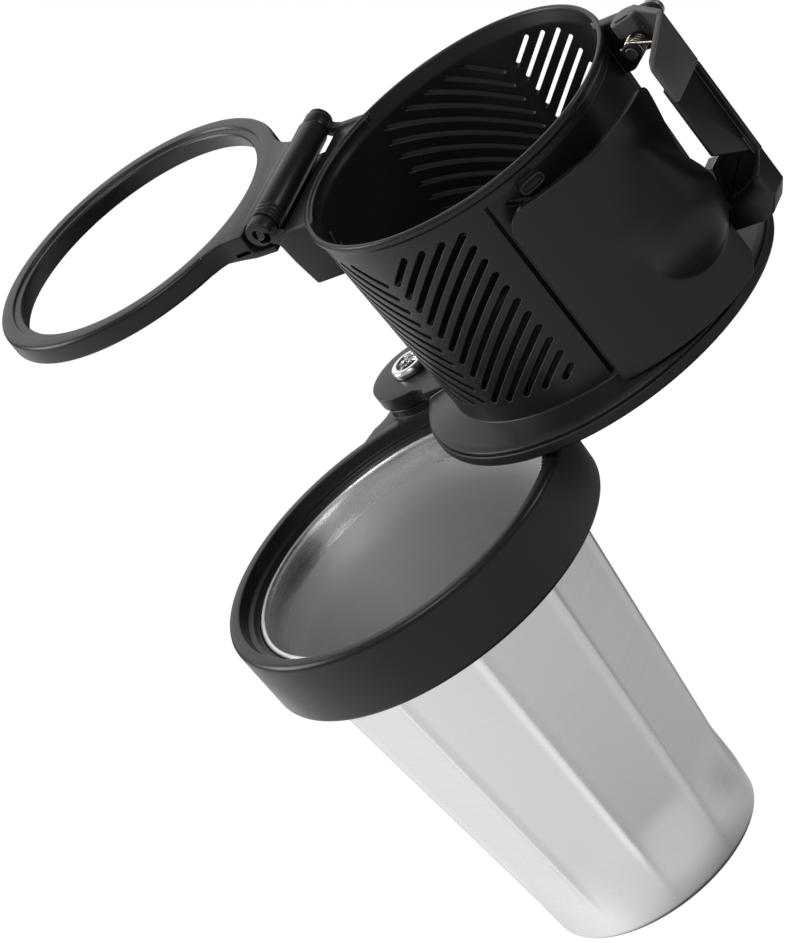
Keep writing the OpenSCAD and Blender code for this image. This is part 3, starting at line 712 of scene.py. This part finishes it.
class HOLDER_OT_back_plate(bpy.types.Operator):
    """Curves the back plate and swells its nose out of it"""

    bl_idname = "holder.back_plate"
    bl_label = "Back plate"

    def execute(self, context):
        thick = 2.0
        radius = 36.6
        nose_at = Vector((9.8, 27.0))
        nose_z = -35.6

        def nose_radius(h):
            if h < 5.13:
                return math.sqrt(max(0.0, 225 - h * h))
            if h < 26.3:
                return 14.1 - (h - 5.13) * 7.7 / 21.17
            return max(0.0, 6.4 * math.sqrt(max(0.0, 1 - ((h - 26.3) / 1.9) ** 2)))

        def surface(turn, z):
            """Distance of the outer face from the plate's axis, with the nose faired in."""
            h = z - nose_z
            own = nose_radius(h) if -15 < h < 28.2 else 0.0
            if own < 0.3:
                return radius
            way = Vector((math.cos(turn), math.sin(turn)))
            left = 1 - smooth(math.radians(50), math.radians(72), turn)
            upper = smooth(-5, 9, h)
            blend = 0.9 + 8.0 * left * upper
            low, high = radius, radius + 13
            for _ in range(24):
                mid = (low + high) / 2
                a = mid - radius
                b = (way * mid - nose_at).length - own
                t = max(0.0, min(1.0, 0.5 + 0.5 * (b - a) / blend))
                if b * (1 - t) + a * t - blend * t * (1 - t) > 0:
                    high = mid
                else:
                    low = mid
            return (low + high) / 2

        def foot_height(u):
            steps = [(-22.4, -57.5), (-12, -57.7), (-7, -57.9), (0, -58.2), (7, -58.6), (14.8, -58.4), (18.7, -57.6), (22, -57.2)]
            for (a, low), (b, high) in zip(steps, steps[1:]):
                if u <= b:
                    return low + (high - low) * smooth(a, b, u)
            return steps[-1][1]

        rows, columns = 120, 110
        points, faces = [], []
        spots = [0.5 * (1 - math.cos(math.pi * j / rows)) * 0.6 + 0.4 * j / rows for j in range(rows + 1)]
        for share in spots:
            z_mid = -8 + share * (-57.9 + 8)
            corner = 5 - math.sqrt(max(0.0, 25 - max(0.0, z_mid + 13) ** 2)) if z_mid > -13 else 0.0
            near = 2.6 - math.sqrt(max(0.0, 6.76 - max(0.0, z_mid + 10.6) ** 2)) if z_mid > -10.6 else 0.0
            wider = 4.2 * smooth(-31, -7, z_mid)
            low_corner = 3.6 - math.sqrt(max(0.0, 3.6 ** 2 - max(0.0, -54.4 - z_mid) ** 2)) if z_mid < -54.4 else 0.0
            swell = 2.25 * math.sqrt(max(0.0, 1 - ((z_mid + 35.4) / 8.2) ** 2))
            from_u, to_u = -22.4 + corner, 18.7 - near - low_corner + max(swell, wider)
            for i in range(columns + 1):
                u = from_u + (to_u - from_u) * i / columns
                z = -8 + share * (foot_height(u) + 8)
                turn = math.radians(55) + math.asin(max(-1, min(1, u / radius)))
                reach = surface(turn, z)
                points.append(mm(PLATE[0] + reach * math.cos(turn), PLATE[1] + reach * math.sin(turn), z))
        wide = columns + 1
        for j in range(rows):
            for i in range(columns):
                a = j * wide + i
                faces.append((a, a + wide, a + wide + 1, a + 1))
        piece = new_piece("back_plate", points, (), faces)
        only(piece)
        bpy.ops.object.modifier_add(type="SOLIDIFY")
        skin = piece.modifiers[-1]
        skin.thickness = thick / 1000
        skin.offset = -1
        skin.use_even_offset = False
        bpy.ops.object.modifier_apply(modifier=skin.name)
        soften(piece, 0.45, 3, 50)
        settle(piece, "back_plate_faired", 40)
        finish_piece(piece, "holder", "black_plastic", ("back_plate",))
        return {"FINISHED"}


class HOLDER_OT_flip_ring(bpy.types.Operator):
    """Spins the flip ring, joins its neck and turns its hinge barrel"""

    bl_idname = "holder.flip_ring"
    bl_label = "Flip ring"

    def execute(self, context):
        top, low = 3.2, -2.2
        section = rounded([
            (35.0, low, 0.3), (39.8, low, 0.7), (39.8, top, 1.1), (36.2, top, 0.35), (35.9, top - 0.6, 0.2),
            (34.4, top - 0.6, 0.4), (34.0, top - 1.1, 0.2),
        ], 5)
        ring = spun("flip_ring", section, (0, FLIP_Y), 240)
        neck = arc((29.1, -56.5), 8, 232.5, 180, 12) + [Vector((21.1, -52.0)), Vector((-14.7, -52.0))]
        neck += arc((-28.2, -48.6), 14, -15.7, -58.4, 14)
        neck += [Vector((0, FLIP_Y)) + v for v in arc((0, 0), 37.2, 121.6, 52.5, 30)]
        stem = slab("neck", [(x, y, low) for x, y in neck], (0, 0, top - low), 0.7, 4)
        carve(ring, stem, "UNION")
        y, z = HINGE
        saddle = rounded([(-53.6, low + 0.2, 0), (-52, z - 3.55, 0.5), (y, z - 3.55, 0), (y, top - 0.02, 0), (-53.6, top - 0.02, 0)])
        tongue = rounded([
            (-62, low, 0), (-56, -2.9, 4), (-52, -3.6, 3), (-45.6, -3.8, 0.5), (-45.6, -2.3, 0.4), (-51.0, -2.3, 1.5),
            (-52.6, -0.6, 0.5), (-62, -0.6, 0),
        ])
        grooves = []
        for x in (13.2, 14.6, 16.0):
            grooves += [(x, 3.6, 0.12), (x + 0.1, 3.25, 0.05), (x + 0.4, 3.25, 0.05), (x + 0.5, 3.6, 0.12)]
        barrel = [(-17.1, 1.56, 0), (-17.1, 3.6, 0.5), *grooves, (17.1, 3.6, 0.4), (17.1, 1.56, 0)]
        parts = [
            ring,
            across("saddle", saddle, -14.2, 17.0, 0.3),
            across("tongue", tongue, -14.2, 21.1, 0.3),
            spun("barrel", rounded(barrel, 3), HINGE, 96, along_x=True),
        ]
        piece = settle(joined(parts), "flip_ring_moulding", 32)
        finish_piece(piece, "upper_ring", "ring_plastic", ("flip_ring",))
        return {"FINISHED"}


class HOLDER_OT_swivel_ring(bpy.types.Operator):
    """Spins the deep swivel ring with its inner step and joins its hub"""

    bl_idname = "holder.swivel_ring"
    bl_label = "Swivel ring"

    def execute(self, context):
        top, low = RING_TOP, RING_LOW
        section = rounded([
            (39.9, low, 0.5), (45.5, low, 1.3), (46.2, top, 1.5), (42.8, top, 0.5), (42.1, top - 2.8, 0.35),
            (40.9, top - 3.0, 0.3), (40.4, top - 3.7, 0.2), (39.9, top - 4.2, 0.2),
        ], 5)
        ring = spun("swivel_ring", section, RING, 240)

        def turned(points):
            c, s = math.cos(SWING), math.sin(SWING)
            return [Vector((PIVOT[0] + x * c - y * s, PIVOT[1] + x * s + y * c)) for x, y in points]

        outline = arc((0.2, 18.6), 8.2, -32.1, -90, 10) + arc((0, 0), 10.4, 92, 268, 36)
        outline += arc((0.2, -18.6), 8.2, 90, 32.1, 10) + [Vector((16, -19)), Vector((16, 19))]
        hub = slab("hub", [(x, y, low + 0.05) for x, y in turned(outline)], (0, 0, top - low - 0.1), 0.7, 3)
        hollow = [(0, low - 5), (43.4, low - 5), (43.4, top + 5), (0, top + 5)]
        carve(hub, spun("hollow", hollow, RING, 160))
        cap = rounded([(3.06, top - 1, 0), (10.4, top - 1, 0), (10.4, FOOT - 4.15, 0.6), (3.06, FOOT - 4.15, 0)])
        parts = [ring, hub, spun("hub_top", cap, PIVOT, 96)]
        piece = settle(joined(parts), "swivel_ring_moulding", 32)
        finish_piece(piece, "cup_arm", "ring_plastic", ("swivel_ring",))
        return {"FINISHED"}


class HOLDER_OT_cup(bpy.types.Operator):
    """Turns the steel cup with its rolled lip and presses its soft flutes"""

    bl_idname = "holder.cup"
    bl_label = "Steel cup"

    def execute(self, context):
        depth = context.scene.holder_sizes.flute_depth
        top, low = CUP_TOP, CUP_LOW

        def radius(z):
            return 28.1 + 11.1 * (z - low) / 106.7

        foot = rounded([(0, low + 0.8, 0), (24.2, low + 0.8, 0.5), (25.2, low, 0.5), (radius(low), low, 2.4), (radius(low + 8), low + 8, 0)], 6, closed=False)
        outer = [Vector((radius(z), z)) for z in (low + 8 + (top - 2.0 - low - 8) * k / 56 for k in range(1, 57))]
        lip = rounded([
            (radius(top - 2.0), top - 2.0, 0), (39.0, top - 1.7, 0.2), (39.7, top - 1.5, 0.4), (39.7, top, 0.75),
            (38.3, top, 0.6), (38.2, top - 1.2, 0.4), (37.4, top - 4, 1.5),
        ], 4, closed=False)[1:]
        inner = [Vector((radius(z) - 2.7, z)) for z in (top - 8 - (top - 16 - low) * k / 12 for k in range(12))]
        floor = rounded([(radius(low + 9) - 2.7, low + 9, 0), (radius(low + 6) - 3, low + 6, 3), (0, low + 6, 0)], 6, closed=False)
        piece = spun("steel_cup", foot + outer + lip + inner + floor, RING, 360)
        for vertex in piece.data.vertices:
            place = vertex.co * 1000 + GRIP
            x, y = place.x - RING[0], place.y - RING[1]
            reach = math.hypot(x, y)
            if place.z > top - 1.9 or place.z < low + 3 or reach < radius(place.z) - 0.06:
                continue
            turn = math.degrees(math.atan2(y, x)) % 36
            turn = min(turn, 36 - turn)
            span = 0.22 * smooth(0, 3.4, turn) + 0.78 * (1 - (1 - turn / 18) ** 2)
            pressed = depth * span * smooth(low + 5, low + 24, place.z) * (1 - smooth(top - 14, top - 4, place.z))
            scale = (reach - pressed) / reach
            vertex.co = mm(RING[0] + x * scale, RING[1] + y * scale, place.z)
        settle(piece, "steel_cup_pressed", 38)
        finish_piece(piece, "cup_arm", "cup_steel", ("steel_cup",))
        return {"FINISHED"}


class HOLDER_OT_knuckle(bpy.types.Operator):
    """Bends the knuckle from a thick sheet, with its curled end and the hub on the pin"""

    bl_idname = "holder.knuckle"
    bl_label = "Knuckle"

    def execute(self, context):
        low, top = -11.3, 3.7
        sheet = rounded([
            (7.0, FACE - 1.55, 0), (7.0, FACE, 0), (-8.6, FACE, 2.6), (-16.0, 49.0, 1.2), (-14.4, 48.2, 0.4),
            (-7.6, FACE - 1.55, 1.2),
        ], 5)
        bent = slab("knuckle", [(x, y, low) for x, y in sheet], (0, 0, top - low), 0)
        centre = Vector((4.0, 0, -2.62))
        for lean in (15, 33, 52, 71):
            way = Vector((math.sin(math.radians(lean)), 0, math.cos(math.radians(lean))))
            slice_off(bent, centre + way * 3, way)
        soften(bent, 0.7, 4, 24)
        curl = rounded([
            (-15.9, 49.4, 0), (-15.8, 45.6, 2.2), (-13.6, 44.3, 1.5), (-9.6, 44.4, 1.3), (-9.2, 46.4, 1), (-11.1, 50.0, 0.8),
            (-13.6, 51.4, 0),
        ], 5)
        loop = slab("curl", [(x, y, -0.3) for x, y in curl], (0, 0, top + 0.25), 0.35)
        slot = arc((-11.7, 48.5), 0.55, 20, 200, 6) + arc((-10.6, 46.3), 0.55, 200, 380, 6)
        carve(loop, slab("slot", [(x, y, 1.0) for x, y in slot], (0, 0, 5), 0))
        hub = rounded([(-18.9, 1.56, 0), (-14.4, 1.56, 0), (-14.4, 4.0, 0.5), (-18.9, 4.0, 0.5)])
        link = [(-18.3, 46.3), (-14.6, 46.3), (-14.3, 49.6), (-13.4, 52.2), (-14.4, 52.8), (-18.3, 50.5)]
        parts = [
            bent,
            loop,
            spun("hub", hub, CLAMP_PIN, 64, along_x=True),
            slab("link", [(x, y, CLAMP_PIN[1] - 3.9) for x, y in link], (0, 0, 7.3), 0.3),
        ]
        piece = settle(joined(parts), "knuckle_bent", 34)
        finish_piece(piece, "vent_lever", "cover_plastic", ("clamp_cover",))
        return {"FINISHED"}


class HOLDER_OT_lever(bpy.types.Operator):
    """Makes the lever's plate, its side rail, the rimmed wing and the hook"""

    bl_idname = "holder.lever"
    bl_label = "Lever"

    def execute(self, context):
        flat = [(-8, -8), (5.8, -8), (5.8, -27.6), (-6, -36), (-6.4, -37), (-8, -37)]
        plate = slab("plate", [(x, FACE - 1.55, z) for x, z in flat], (0, -1.5, 0), 0.35)
        rail = rounded([(FACE - 2.4, -8.6, 0.3), (FACE, -11.4, 0.5), (FACE, -37.2, 0), (FACE - 2.4, -37.2, 0)])
        hook_side = rounded([
            (FACE, -34, 0), (FACE, -46.2, 1.0), (57.1, -50.2, 2.0), (54.1, -51.4, 1.5), (45.8, -51.4, 1.2),
            (44.2, -49.8, 1.0), (43.4, -47.2, 0.6), (49.2, -45.4, 2), (56.4, -42.4, 2), (58.2, -38.6, 1), (58.2, -34, 0),
        ])
        hook = across("hook", hook_side, -8, -0.6, 0)
        lean = Vector((math.sin(math.radians(27)), 0, math.cos(math.radians(27))))
        slice_off(hook, (-8, 58, -36), lean)
        soften(hook, 0.5, 3, 24)
        wing_side = rounded([
            (51, -33.9, 0.8), (58.7, -32, 0.5), (58.7, -38, 1.5), (56.4, -43.2, 2), (52, -45.6, 2), (49.4, -46.6, 1),
            (44.1, -47.6, 0.5), (46.6, -37.2, 1), (49.1, -35.4, 1),
        ])
        wing = across("wing", wing_side, -7.9, -6.2, 0)
        only(wing)
        bpy.ops.object.mode_set(mode="EDIT")
        bpy.ops.mesh.select_mode(type="FACE")
        bpy.ops.mesh.select_all(action="DESELECT")
        bpy.ops.object.mode_set(mode="OBJECT")
        for face in wing.data.polygons:
            face.select = face.normal.x > 0.99
        bpy.ops.object.mode_set(mode="EDIT")
        bpy.ops.mesh.inset(thickness=0.0007)
        bpy.ops.mesh.extrude_region_move(TRANSFORM_OT_translate={"value": (-0.0007, 0, 0)})
        bpy.ops.object.mode_set(mode="OBJECT")
        soften(wing, 0.25, 2, 40)
        parts = [plate, across("rail", rail, -8, -6.9, 0.35), hook, wing]
        piece = settle(joined(parts), "lever_moulding", 34)
        finish_piece(piece, "vent_lever", "black_plastic", ("clamp_lever",))
        return {"FINISHED"}


class HOLDER_OT_spring(bpy.types.Operator):
    """Winds the return spring with its two straight legs"""

    bl_idname = "holder.spring"
    bl_label = "Return spring"

    def execute(self, context):
        thick = context.scene.holder_sizes.wire
        y, z = CLAMP_PIN
        turns, coil = 4.5, 2.1
        path = []
        for k in range(int(turns * 28) + 1):
            angle = math.radians(-90 + 360 * k / 28)
            path.append((-13.0 + 3.6 * k / (turns * 28), y + coil * math.cos(angle), z + coil * math.sin(angle)))
        first, last = Vector(path[0]), Vector(path[-1])
        far = [tuple(first + Vector((0, -0.9, 0.2)) * t) for t in (6.2, 4, 2, 0.8)]
        near = [tuple(last + Vector((0, 0.91, -0.3)) * t) for t in (0.8, 3, 6.5)]
        piece = settle(wire("return_spring", far + path + near, thick), "return_spring", 60)
        finish_piece(piece, "holder", "spring_wire", ("clamp_spring",))
        return {"FINISHED"}


class HOLDER_OT_pivot(bpy.types.Operator):
    """Turns the hollow swivel pin with its rolled head"""

    bl_idname = "holder.pivot"
    bl_label = "Swivel pin"

    def execute(self, context):
        head = rounded([
            (1.9, RING_LOW + 1.0, 0), (1.9, FOOT + 0.9, 0.6), (2.7, FOOT + 1.0, 0.2), (2.9, FOOT + 2.1, 0.7),
            (4.7, FOOT + 2.1, 1.0), (4.7, FOOT + 0.02, 0.4), (3.0, FOOT + 0.02, 0), (3.0, RING_LOW + 1.0, 0),
        ], 6)
        piece = settle(spun("swivel_pin", head, PIVOT, 128), "swivel_pin_rolled", 40)
        finish_piece(piece, "holder", "bright_pin", ("swivel_pin",))
        return {"FINISHED"}


class HOLDER_OT_kept(bpy.types.Operator):
    """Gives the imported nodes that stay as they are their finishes"""

    bl_idname = "holder.kept"
    bl_label = "Kept nodes"

    def execute(self, context):
        for name, obj in frame["nodes"].items():
            obj.data.materials.clear()
            obj.data.materials.append(FINISHES[NODE_SLOT[name]])
        return {"FINISHED"}


class HOLDER_OT_stage(bpy.types.Operator):
    """Makes the pale floor, the surroundings, the soft lamps and the camera"""

    bl_idname = "holder.stage"
    bl_label = "Stage"

    def execute(self, context):
        scene = context.scene
        scene.view_settings.view_transform = "Standard"
        pale = (*scene.holder_colours.backdrop, 1)
        bpy.ops.object.select_all(action="DESELECT")
        bpy.ops.mesh.primitive_plane_add(size=30, location=(0, 0, -0.62))
        floor = context.object
        floor.name = "floor"
        mat = bpy.data.materials.new("floor_paper")
        mat.use_nodes = True
        tree = mat.node_tree
        tree.nodes.clear()
        out = node(tree, "ShaderNodeOutputMaterial", (550, 0))
        diffuse = node(tree, "ShaderNodeBsdfDiffuse", (0, 100), Color=pale)
        glow = node(tree, "ShaderNodeEmission", (0, -100), Color=(1, 1, 1, 1), Strength=1.06)
        # Seen only in reflections, the floor glows in cards that are brighter or darker by their turn about the cup,
        # and darker towards -X.
        mirrored = node(tree, "ShaderNodeEmission", (0, -250), Strength=1.22)
        spot = node(tree, "ShaderNodeTexCoord", (-1400, -300))
        about = node(tree, "ShaderNodeVectorMath", (-1200, -300), operation="SUBTRACT")
        about.inputs[1].default_value = mm(*RING, 0).to_tuple()
        parts = node(tree, "ShaderNodeSeparateXYZ", (-1000, -300))
        angle = node(tree, "ShaderNodeMath", (-800, -300), operation="ARCTAN2")
        share = node(tree, "ShaderNodeMapRange", (-600, -300))
        share.inputs["From Min"].default_value = -math.pi
        share.inputs["From Max"].default_value = math.pi
        cards = node(tree, "ShaderNodeValToRGB", (-400, -300))
        tones = [(-180, 0.42), (-125, 0.70), (-78, 0.86), (-41, 1.0), (-4, 0.74), (35, 0.95), (71, 0.66), (108, 0.85), (146, 0.34), (180, 0.42)]
        ramp = cards.color_ramp.elements
        for k, (turn, tone) in enumerate(tones):
            stop = ramp[k] if k < 2 else ramp.new(0.5)
            stop.position = (turn + 180) / 360
            stop.color = (tone, tone, tone, 1)
        shade = node(tree, "ShaderNodeMapRange", (-400, -600))
        shade.inputs["From Min"].default_value = -1.1
        shade.inputs["From Max"].default_value = -0.75
        shade.inputs["To Min"].default_value = 0.12
        shade.inputs["To Max"].default_value = 1.22
        # Painted shadow: the floor's glow in reflections fades to a tenth beneath the object.
        flat = node(tree, "ShaderNodeVectorMath", (-1000, -800), operation="LENGTH")
        painted_shadow = node(tree, "ShaderNodeMapRange", (-800, -800))
        painted_shadow.inputs["From Min"].default_value = 0.30
        painted_shadow.inputs["From Max"].default_value = 0.62
        painted_shadow.inputs["To Min"].default_value = 0.10
        painted_shadow.inputs["To Max"].default_value = 1.0
        both = node(tree, "ShaderNodeMath", (-200, -700), operation="MULTIPLY")
        path = node(tree, "ShaderNodeLightPath", (-400, 0))
        seen = node(tree, "ShaderNodeMath", (-200, 0), operation="MULTIPLY")
        seen.inputs[1].default_value = 0.93
        mix = node(tree, "ShaderNodeMixShader", (200, 0))
        polish = node(tree, "ShaderNodeMixShader", (350, 0))
        link = tree.links.new
        link(path.outputs["Is Camera Ray"], seen.inputs[0])
        link(seen.outputs[0], mix.inputs["Fac"])
        link(diffuse.outputs[0], mix.inputs[1])
        link(glow.outputs[0], mix.inputs[2])
        link(spot.outputs["Object"], about.inputs[0])
        link(about.outputs["Vector"], parts.inputs["Vector"])
        link(parts.outputs["Y"], angle.inputs[0])
        link(parts.outputs["X"], angle.inputs[1])
        link(angle.outputs[0], share.inputs["Value"])
        link(share.outputs["Result"], cards.inputs["Fac"])
        link(cards.outputs["Color"], mirrored.inputs["Color"])
        link(parts.outputs["X"], shade.inputs["Value"])
        link(spot.outputs["Object"], flat.inputs[0])
        link(flat.outputs["Value"], painted_shadow.inputs["Value"])
        link(shade.outputs["Result"], both.inputs[0])
        link(painted_shadow.outputs["Result"], both.inputs[1])
        link(both.outputs[0], mirrored.inputs["Strength"])
        link(path.outputs["Is Glossy Ray"], polish.inputs["Fac"])
        link(mix.outputs[0], polish.inputs[1])
        link(mirrored.outputs[0], polish.inputs[2])
        link(polish.outputs[0], out.inputs["Surface"])
        floor.data.materials.append(mat)

        world = bpy.data.worlds.new("surroundings")
        scene.world = world
        world.use_nodes = True
        tree = world.node_tree
        tree.nodes.clear()
        out = node(tree, "ShaderNodeOutputWorld", (900, 0))
        place = node(tree, "ShaderNodeTexCoord", (-900, 0))
        toward = node(tree, "ShaderNodeVectorMath", (-700, 0), operation="DOT_PRODUCT")
        toward.inputs[1].default_value = Vector((0.70, -0.10, 0.70)).normalized()
        dome = node(tree, "ShaderNodeMapRange", (-500, 0), interpolation_type="SMOOTHSTEP")
        dome.inputs["From Min"].default_value = -0.5
        dome.inputs["From Max"].default_value = 0.9
        dome.inputs["To Min"].default_value = 0.09
        dome.inputs["To Max"].default_value = 0.42
        beyond = node(tree, "ShaderNodeVectorMath", (-700, -300), operation="DOT_PRODUCT")
        beyond.inputs[1].default_value = Vector((-0.726, -0.573, 0.381)).normalized()
        window = node(tree, "ShaderNodeMapRange", (-500, -300), interpolation_type="SMOOTHSTEP")
        window.inputs["From Min"].default_value = 0.72
        window.inputs["From Max"].default_value = 0.98
        window.inputs["To Min"].default_value = 0.0
        window.inputs["To Max"].default_value = 1.0
        together = node(tree, "ShaderNodeMath", (-250, -200), operation="ADD")
        soft = node(tree, "ShaderNodeBackground", (0, -100), Color=(0.97, 0.98, 1.0, 1))
        white = node(tree, "ShaderNodeBackground", (0, 100), Color=(1, 1, 1, 1), Strength=1.0)
        path = node(tree, "ShaderNodeLightPath", (-300, 300))
        mix = node(tree, "ShaderNodeMixShader", (400, 0))
        link = tree.links.new
        link(place.outputs["Generated"], toward.inputs[0])
        link(toward.outputs["Value"], dome.inputs["Value"])
        link(place.outputs["Generated"], beyond.inputs[0])
        link(beyond.outputs["Value"], window.inputs["Value"])
        link(dome.outputs["Result"], together.inputs[0])
        link(window.outputs["Result"], together.inputs[1])
        link(together.outputs[0], soft.inputs["Strength"])
        link(path.outputs["Is Camera Ray"], mix.inputs["Fac"])
        link(soft.outputs[0], mix.inputs[1])
        link(white.outputs[0], mix.inputs[2])
        link(mix.outputs[0], out.inputs["Surface"])

        centre = mm(10, -40, -60)
        lamps = [
            ("lamp_left", (0.25, -0.85, 0.50), 1.2, 0.6, 9.0),
            ("lamp_top", (0.35, 0.10, 1.0), 1.2, 0.45, 3.5),
            ("lamp_back", (-0.45, 0.80, 0.45), 1.2, 0.3, 2.2),
        ]
        for name, way, gap, size, power in lamps:
            data = bpy.data.lights.new(name, "AREA")
            data.shape = "SQUARE"
            data.size = size
            data.energy = power
            lamp = bpy.data.objects.new(name, data)
            scene.collection.objects.link(lamp)
            lamp.location = centre + Vector(way).normalized() * gap
            lamp.rotation_euler = (centre - lamp.location).to_track_quat("-Z", "Y").to_euler()

        data = bpy.data.cameras.new("camera")
        data.lens = 212.8
        data.sensor_width = 36.0
        data.clip_start = 0.05
        data.clip_end = 50.0
        camera = bpy.data.objects.new("camera", data)
        scene.collection.objects.link(camera)
        camera.location = (0.91466, 0.66986, 0.50985)
        camera.rotation_mode = "QUATERNION"
        camera.rotation_quaternion = (0.58211095, 0.04753587, 0.5366091, 0.60904668)
        scene.camera = camera
        return {"FINISHED"}


class HOLDER_PT_panel(bpy.types.Panel):
    """Lists the sizes, the colours and the steps"""

    bl_idname = "HOLDER_PT_panel"
    bl_label = "Cup holder"
    bl_space_type = "VIEW_3D"
    bl_region_type = "UI"
    bl_category = "Cup holder"

    def draw(self, context):
        layout = self.layout
        for group in (context.scene.holder_sizes, context.scene.holder_colours):
            for key in group.__annotations__:
                layout.prop(group, key)
        for step in STEPS:
            layout.operator(step.bl_idname)


STEPS = (
    HOLDER_OT_finishes, HOLDER_OT_kept, HOLDER_OT_basket, HOLDER_OT_back_plate, HOLDER_OT_flip_ring, HOLDER_OT_swivel_ring,
    HOLDER_OT_cup, HOLDER_OT_knuckle, HOLDER_OT_lever, HOLDER_OT_spring, HOLDER_OT_pivot, HOLDER_OT_stage,
)
CLASSES = (HolderSizes, HolderColours, *STEPS, HOLDER_PT_panel)


def register():
    for cls in CLASSES:
        bpy.utils.register_class(cls)
    bpy.types.Scene.holder_sizes = PointerProperty(type=HolderSizes)
    bpy.types.Scene.holder_colours = PointerProperty(type=HolderColours)


def unregister():
    del bpy.types.Scene.holder_colours
    del bpy.types.Scene.holder_sizes
    for cls in reversed(CLASSES):
        bpy.utils.unregister_class(cls)


def main():
    register()
    for step in STEPS:
        group, name = step.bl_idname.split(".")
        getattr(getattr(bpy.ops, group), name)()


if __name__ == "__main__":
    main()
